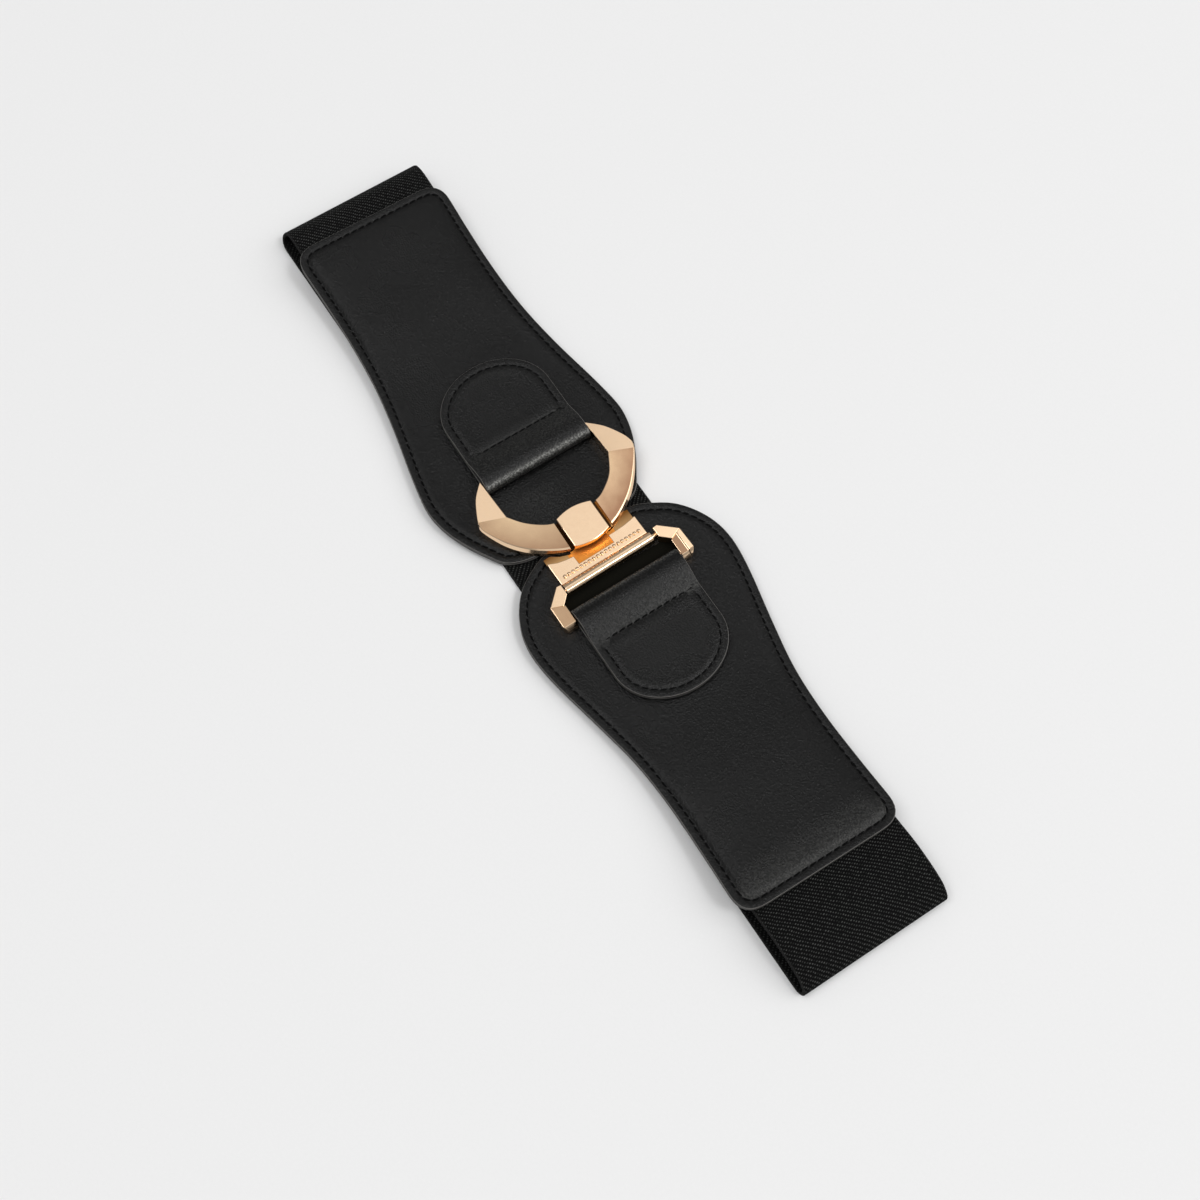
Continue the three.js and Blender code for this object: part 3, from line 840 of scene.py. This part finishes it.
# Down in the recesses of the buckle the plating would mirror itself several times over. That
# light is painted into its colour: a painted copper reflection in the hook's pocket, a painted
# tan reflection on the ledge beside the ring, browner as it nears the ring, and painted dark
# brown shade in the narrow cracks along the block.
recess_painted_light, shader, add, place, haze, copper = two_tone(
    "rose_gold_painted_reflection_and_shade", 1.5 * mm, 3, "E38B38", "F2A14A")
gloss = add("MapRange", {"Value": haze, "To Min": 0.36, "To Max": 0.42})
sides = add("SeparateXYZ", {"Vector": place})
off_middle = add("Math", {0: sides.outputs["Y"]}, operation="ABSOLUTE")
beside = add("Math", {0: off_middle, 1: 10 * mm}, operation="GREATER_THAN")
before = add("Math", {0: sides.outputs["X"], 1: 8.9 * mm}, operation="LESS_THAN")
outside = add("Math", {0: beside, 1: before}, operation="MAXIMUM")
off_block = add("Math", {0: sides.outputs["Y"], 1: -0.5 * mm}, operation="ADD")
off_block = add("Math", {0: off_block}, operation="ABSOLUTE")
crack_shade = add("MapRange", {"Value": off_block, "From Min": 9.0 * mm, "From Max": 9.5 * mm})
off_ring = add("MapRange", {
    "Value": sides.outputs["X"], "From Min": 6.2 * mm, "From Max": 10.5 * mm})
ledge_tone = add("Mix", {
    "Factor": off_ring, "A": paint("7A5024"), "B": paint("C09868")}, data_type="RGBA")
tan = add("Mix", {"Factor": crack_shade, "A": paint("3A2310"), "B": ledge_tone}, data_type="RGBA")
tone = add("Mix", {"Factor": outside, "A": copper, "B": tan}, data_type="RGBA")
feed(shader, {"Base Color": tone, "Roughness": gloss, "Metallic": 1})

# The ring's arms and the lugs' rear arms get a painted reflection of the hook and of the dimmer
# room: their tan is painted deeper, and deepest where the ring nears the hook, towards its outer
# edge and on its far arm.
arm_gold_painted_reflection, shader, add, place, haze, tone = two_tone(
    "rose_gold_with_painted_arm_reflection", 4 * mm, 2, "FADAB0", "AB8265")
gloss = add("MapRange", {"Value": haze, "To Min": 0.12, "To Max": 0.19})
sides = add("SeparateXYZ", {"Vector": place})
from_nose = add("Math", {0: sides.outputs["X"], 1: -7 * mm}, operation="ADD")
away = add("Math", {0: from_nose}, operation="ABSOLUTE")
near_hook = add("MapRange", {
    "Value": away, "From Max": 20 * mm, "To Min": 0.7, "To Max": 0})
reach = add("VectorMath", {0: place, 1: (-13 * mm, 1.2 * mm, 9.5 * mm)}, operation="DISTANCE")
near_rim = add("MapRange", {
    "Value": reach, "From Min": 21 * mm, "From Max": 31 * mm, "To Max": 0.5})
far_side = add("MapRange", {
    "Value": sides.outputs["Y"], "From Max": 12 * mm, "To Max": 0.22})
deeper = add("Math", {0: near_hook, 1: near_rim}, operation="ADD")
deepest = add("Math", {0: deeper, 1: far_side}, operation="ADD")
streaked = add("Math", {0: haze, 1: 0.2, 2: deepest}, operation="MULTIPLY_ADD", use_clamp=True)
feed(tone, {"Factor": streaked})
feed(shader, {"Roughness": gloss, "Metallic": 1})


def dress_gold(piece, node, smooth_degrees, *others):
    """Smooths a cast piece, gives it its plating and others, and ties it to its CAD node."""
    finish_surface(piece, smooth_degrees)
    for material in (gold, *others):
        piece.data.materials.append(material)
    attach(piece, "root")
    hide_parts(node)


cast_base = 4.8
bar_radius = 0.9
bar_z = 7.3
ring_top = 9.9
ring_shift = 1.2
arm_slope = 0.072
horn_tips = [(-32.3, 23), (-32.3, -23)]
ring_outer = [
    (-27.5, 28), (-22, 31.4), (-17.3, 33.3), (-13.4, 33.0), (-5, 27.8), (2, 21.3), (7.3, 13),
    (9.5, 5.5), (10, 0), (9.5, -5.5), (7.3, -13), (2, -21.6), (-5, -28.2), (-14, -32.8),
    (-17.5, -32.7), (-21.8, -31.0), (-27.5, -27.8)]
ring_inner = [
    (-16.8, 23.5), (-9.7, 19.4), (-5.7, 14.9), (-3.2, 10.2), (-2.9, 5), (-2.9, 0), (-2.9, -5),
    (-3.4, -9.8), (-6, -14.5), (-9.6, -18.7), (-14.3, -22.4)]

# The ridge between horn and arm crosses the ring a little aslant, as (outer end, inner end).
ridge_up = ((-13.0, 32.6), ring_inner[0])
ridge_down = ((-18.2, -32.4), ring_inner[-1])

# Each wall is cut into stations: along a horn, along both arms and along the other horn.
ridge_station = 15
arm_half = 60


def even_line(line, count):
    """A line as a number of evenly spaced points, ends kept."""
    lengths = lengths_of(line)
    return along_line(line, lengths, np.linspace(0, lengths[-1], count))


def wall_stations(wall, up, down):
    """A wall's points, station by station. It passes the two ridges near up and down."""
    first, last = (
        min(range(len(wall)), key=lambda k: math.dist(wall[k], place)) for place in (up, down))
    return np.vstack([
        even_line(wall[:first + 1], ridge_station + 1)[:-1],
        even_line(wall[first:last + 1], 2 * arm_half + 1),
        even_line(wall[last:], ridge_station + 1)[1:]])


outs = wall_stations(
    spline([horn_tips[0], *ring_outer, horn_tips[1]], 12), ridge_up[0], ridge_down[0])
ins = wall_stations(
    [horn_tips[0], *straight(horn_tips[0], ring_inner[0], 0.5)[:-1], *spline(ring_inner, 12),
     *straight(ring_inner[-1], horn_tips[1], 0.5)], ridge_up[1], ridge_down[1])
last_station = len(outs) - 1


def ring_section(along):
    """The ring's section at a share of the arm's length from the ridge (0) to the nose (1).

    Each point is a share of the way from inner to outer wall, a shift outwards and a depth below
    the top. Two facets run down the outer edge: the upper one widens towards the hook, and the
    lower, steeper one is a crescent.
    """
    upper = 0.12 + 0.5 * min(1, max(0, along) / 0.7)
    lower = 0.12 + 0.7 * math.sin(math.pi * min(1, max(0, along) / 0.9)) ** 0.6
    deep = 0.55 * upper
    return [
        (0, 0, None), (0, 0, 0.3), (0, 0.08, 0.08), (0, 0.3, 0), (0.25, 0, 0), (0.5, 0, 0),
        (0.75, 0, 0), (1, -upper - lower, 0), (1, -lower, deep), (1, 0, deep + 1.8 * lower),
        (1, 0, None)]


# The section is full size where the ring is 5 mm wide or more, and shrinks towards the horn tips.
ring, stands = new_grid("ring_cast", len(outs), len(ring_section(0)))
for vertex, (station, row) in zip(ring.data.vertices, stands):
    from_ridge = min(station, last_station - station) - ridge_station
    share, shift, below = ring_section(from_ridge / arm_half)[row]
    start, end = Vector(ins[station]), Vector(outs[station])
    wide = max((end - start).length, 1e-6)
    small = min(1, wide / 5)
    middle = start + (end - start) * share + (end - start) / wide * shift * small
    if from_ridge <= 0:
        top = ring_top + from_ridge / ridge_station
    else:
        outer, inner = ridge_up if middle.y > 0 else ridge_down
        ridge_x = outer[0] * share + inner[0] * (1 - share)
        top = ring_top - arm_slope * max(0, middle.x - ridge_x)
    z = cast_base if below is None else top - below * small
    vertex.co = Vector((middle.x, middle.y + ring_shift, z)) * mm

# The underside is closed, and the nose between the arms' ends is lowered, to go under the block.
arm_end = 9.0
nose_low, nose_top = 6.5, 7.3
with edit_mode(ring):
    bpy.ops.mesh.remove_doubles(threshold=0.01 * mm)
    bpy.ops.mesh.select_all(action="DESELECT")
    bpy.ops.mesh.select_mode(type="EDGE")
    bpy.ops.mesh.select_non_manifold(extend=False)
    bpy.ops.mesh.edge_face_add()
    for cut in (arm_end + 0.1, arm_end, -arm_end, -arm_end - 0.1):
        bpy.ops.mesh.select_all(action="SELECT")
        bpy.ops.mesh.bisect(
            plane_co=(0, (cut + ring_shift) * mm, 0), plane_no=(0, 1, 0), threshold=0.001 * mm)
for vertex in ring.data.vertices:
    if abs(vertex.co.y / mm - ring_shift) < arm_end + 0.05:
        vertex.co.z = min(max(vertex.co.z, nose_low * mm), nose_top * mm)


def cross_rod(name, sides, radius, half_length, x, y, z):
    """A round rod that lies across the belt. Sizes in millimetres."""
    rod = add_piece(
        bpy.ops.mesh.primitive_cylinder_add, name,
        vertices=sides, radius=radius * mm, depth=2 * half_length * mm,
        location=(x * mm, y * mm, z * mm), rotation=(math.pi / 2, 0, 0))
    bpy.ops.object.transform_apply()
    return rod


join_into(ring, cross_rod("ring_bar", 40, bar_radius, 24, -30.2, ring_shift, bar_z))
dress_gold(ring, "ring", 18, recess_painted_light, arm_gold_painted_reflection)
shifted = Vector((0, ring_shift, 0))
for station in (ridge_station, last_station - ridge_station):
    start = Vector((*ins[station], 0))
    ridge = (Vector((*outs[station], 0)) - start).normalized()
    for edge in ring.data.edges:
        ends = [ring.data.vertices[k].co / mm - shifted for k in edge.vertices]
        if all(end.z > 8 and abs((end - start).cross(ridge).z) < 0.03 for end in ends):
            edge.use_edge_sharp = True
# The nose under the block takes the painted reflection and shade of the recesses, and the arms'
# sloping tops take the painted arm reflection.
for face in ring.data.polygons:
    middle = face.center / mm
    on_nose = middle.z < nose_top + 0.05 and abs(middle.y - ring_shift) < arm_end + 0.06
    if on_nose and face.normal.z > 0.5:
        face.material_index = 1
    elif face.normal.z > 0.96 and face.normal.x > 0.01:
        face.material_index = 2

# Lug frame.
# Two bent lugs cast in one with a straight bar, which holds the second tab. Each has a level
# front facet, a rear arm and a sloping end. The first lug's rear arm has a leaning, sunk inner
# facet beside a level outer strip; the other's leans as a whole. The hinge pin joins them.

lug_top = 9.6
lug_front = [(18.6, 20.2), (18.4, 22), (24.2, 28.4), (26.1, 23.7), (22.8, 20.2)]
lug_rear = [(24.1, 28.4), (32.8, 28.5), (34.6, 27.4), (34.6, 23.2), (26.2, 23.2)]
facet_edge = 26.35
arm_lean = 0.075
lug_slope_from = 33.2
hinge_x, hinge_z = 20.8, 7.2


def soften(piece, width, segments=2):
    """Bevels the sharp edges of a piece to a width in millimetres."""
    with edit_mode(piece):
        pick(piece, "EDGE", lambda edge: len(edge.link_faces) == 2
             and edge.calc_face_angle() > math.radians(25))
        bpy.ops.mesh.bevel(offset=width * mm, segments=segments, profile=0.5)


def turn_about_hinge(piece):
    """Turns a piece a little, as the hook and what it hangs on lie in the photograph."""
    centre = Matrix.Translation((hinge_x * mm, ring_shift * mm, 0))
    piece.data.transform(centre @ Matrix.Rotation(math.radians(1.2), 4, "Z") @ centre.inverted())


# The rear arm is a hair lower and shorter than the front facet, so that no faces coincide.
hair = 0.02
lug_parts = []
for sign in (1, -1):
    facet = raised_plate("lug_front", [(x, sign * y) for x, y in lug_front], cast_base, lug_top)
    soften(facet, 0.22)
    arm = raised_plate(
        "lug_rear", [(x, sign * y) for x, y in lug_rear], cast_base + hair, lug_top - hair)
    with edit_mode(arm):
        for cut, axis in (
                (sign * (facet_edge + 0.05), (0, 1, 0)), (sign * (facet_edge - 0.05), (0, 1, 0)),
                (lug_slope_from, (1, 0, 0))):
            bpy.ops.mesh.select_all(action="SELECT")
            bpy.ops.mesh.bisect(
                plane_co=Vector(axis) * cut * mm, plane_no=axis, threshold=0.01 * mm)
    for vertex in arm.data.vertices:
        x, y, z = vertex.co / mm
        if z > lug_top - 0.1:
            sunk = arm_lean * (x - 24)
            if sign > 0:
                sunk = sunk + 0.3 if y < facet_edge else 0
            vertex.co.z -= (sunk + (1.7 if x > 34 else 0)) * mm
    soften(arm, 0.22)
    lug_parts += [facet, arm]
lugs = lug_parts[0]
join_into(*lug_parts, cross_rod("lug_bar", 40, bar_radius, 23.85, 32.2, 0, bar_z))
lugs.name = "lug_frame_cast"
lugs.data.transform(Matrix.Translation((0.1 * mm, ring_shift * mm, 0)))
turn_about_hinge(lugs)
dress_gold(lugs, "lug_frame", 12, arm_gold_painted_reflection)
# The leaning tops of the rear arms take the painted arm reflection.
for face in lugs.data.polygons:
    if face.normal.z > 0.96 and face.normal.x > 0.03:
        face.material_index = 1

# Hinge pin.
# A plated steel rod with lightly domed heads, held in the lugs, on which the hook's barrel turns.

pin = cross_rod("hinge_pin_rod", 32, 0.9, 22.4, hinge_x, ring_shift, hinge_z)
soften(pin, 0.25, 3)
turn_about_hinge(pin)
dress_gold(pin, "hinge_pin", 40)

# Hook.
# A plated casting: a flat plate with a pocket, a block that folds over the ring's nose, and a
# barrel that turns on the hinge pin. A plain row of tiny beads decorates the plate.

hook_shift = 0.5
plate_top = 8.3
plate_half = 18.9
pocket_end = 15.0
pocket_low, pocket_high = -9.0, 6.2
block_half = 7.4
plate = raised_plate("hook_plate_cast", [
    (8.7, -plate_half), (18.6, -plate_half), (18.6, 18.5), (10.5, 18.5), (11.0, 16),
    (11.4, 13), (11.6, 9), (11.6, pocket_high), (pocket_end, pocket_high),
    (pocket_end, pocket_low), (11.4, pocket_low), (11.0, -12.5), (10.3, -15.5)],
    cast_base, plate_top)
soften(plate, 0.2)

# The ledge that carries the plate follows the ring's nose in front.
ledge_rear, ledge_half = 15.2, 18.4
ledge_front = [(5.9, 15.9), (7.9, 12.9), (9.2, 9.5), (10.1, 5.5), (10.4, 0)]
ledge = raised_plate("ledge", [
    (5.9, 0.1 - plate_half), (ledge_rear, 0.1 - plate_half), (ledge_rear, ledge_half),
    (5.9, ledge_half), *ledge_front, *((x, -y) for x, y in reversed(ledge_front[:-1]))],
    cast_base + 0.02, 6.2)
soften(ledge, 0.2)

pocket_floor = raised_plate("pocket_floor", [
    (9, pocket_low), (pocket_end + 0.1, pocket_low), (pocket_end + 0.1, pocket_high),
    (9, pocket_high)], cast_base + 0.03, 7.0)
for vertex in pocket_floor.data.vertices:
    if vertex.co.x > 14 * mm and vertex.co.z > 6 * mm:
        vertex.co.z = 7.3 * mm


def bulged(front, rear, half, front_bulge, rear_bulge):
    """A block's plan: straight sides, with front and rear edges that bow outwards."""
    shares = np.linspace(-1, 1, 17)
    return [(rear + rear_bulge * (1 - share ** 2), half * share) for share in shares] + [
        (front - front_bulge * (1 - share ** 2), half * share) for share in shares[::-1]]


block = raised_plate("block", bulged(-3.0, 9.8, block_half, 1.3, 1.5), 9.3, 11.5)
for vertex in block.data.vertices:
    if vertex.co.x < 0:
        vertex.co.x += 0.045 * max(0, vertex.co.y)
soften(block, 0.25)
lip = raised_plate("lip", bulged(-3.15, 2.15, 7.3, 1.4, -1.2), cast_base, 9.6)
soften(lip, 0.2)
base = raised_plate("base", bulged(-3.2, 10.8, 7.3, 1.4, 0), cast_base + 0.01, 6.15)
soften(base, 0.2)

# The barrel's ends are bored for the pin.
barrel_radius, barrel_wall, bore_depth = 2.3, 1.1, 2
barrel = cross_rod("barrel", 64, barrel_radius, 19.0, hinge_x, 0, hinge_z)
with edit_mode(barrel):
    pick(barrel, "FACE", lambda face: abs(face.normal.y) > 0.9)
    bpy.ops.mesh.inset(thickness=barrel_wall * mm)
    bpy.ops.mesh.extrude_region_move(TRANSFORM_OT_translate={"value": (0, 0, 0)})
    for sign in (1, -1):
        pick(barrel, "FACE", lambda face: sign * face.normal.y > 0.9 and all(
            math.hypot(point.co.x / mm - hinge_x, point.co.z / mm - hinge_z) < 1.25
            for point in face.verts))
        bpy.ops.transform.translate(value=(0, -sign * bore_depth * mm, 0))
soften(barrel, 0.2)

bead_count = 19
bead_pitch = 1.8
beads = []
for k in range(bead_count):
    across = (k - (bead_count - 1) / 2) * bead_pitch
    one_bead = add_piece(
        bpy.ops.mesh.primitive_uv_sphere_add, "one_bead", segments=12, ring_count=8,
        radius=0.78 * mm, location=(16.4 * mm, across * mm, plate_top * mm))
    one_bead.scale = (1, 1, 0.95)
    bpy.ops.object.transform_apply()
    beads.append(one_bead)

join_into(plate, ledge, pocket_floor, barrel, *beads)
turn_about_hinge(plate)
join_into(plate, block, lip, base)
plate.data.transform(Matrix.Translation((0, hook_shift * mm, 0)))
dress_gold(plate, "hook_plate", 20, recess_painted_light)

# The pocket, the ledge and the cracks along the block's sides take the painted reflection and
# shade of the recesses.
for face in plate.data.polygons:
    middle = face.center / mm
    floor_of_recess = 5.9 < middle.z < 7.6 and middle.x < 15.5 and face.normal.z > 0.5
    beside_block = abs(abs(middle.y - hook_shift) - block_half) < 0.25 and middle.z > 6
    side_of_block = beside_block and middle.x < 8.5 and abs(face.normal.y) > 0.6
    if floor_of_recess or side_of_block:
        face.material_index = 1
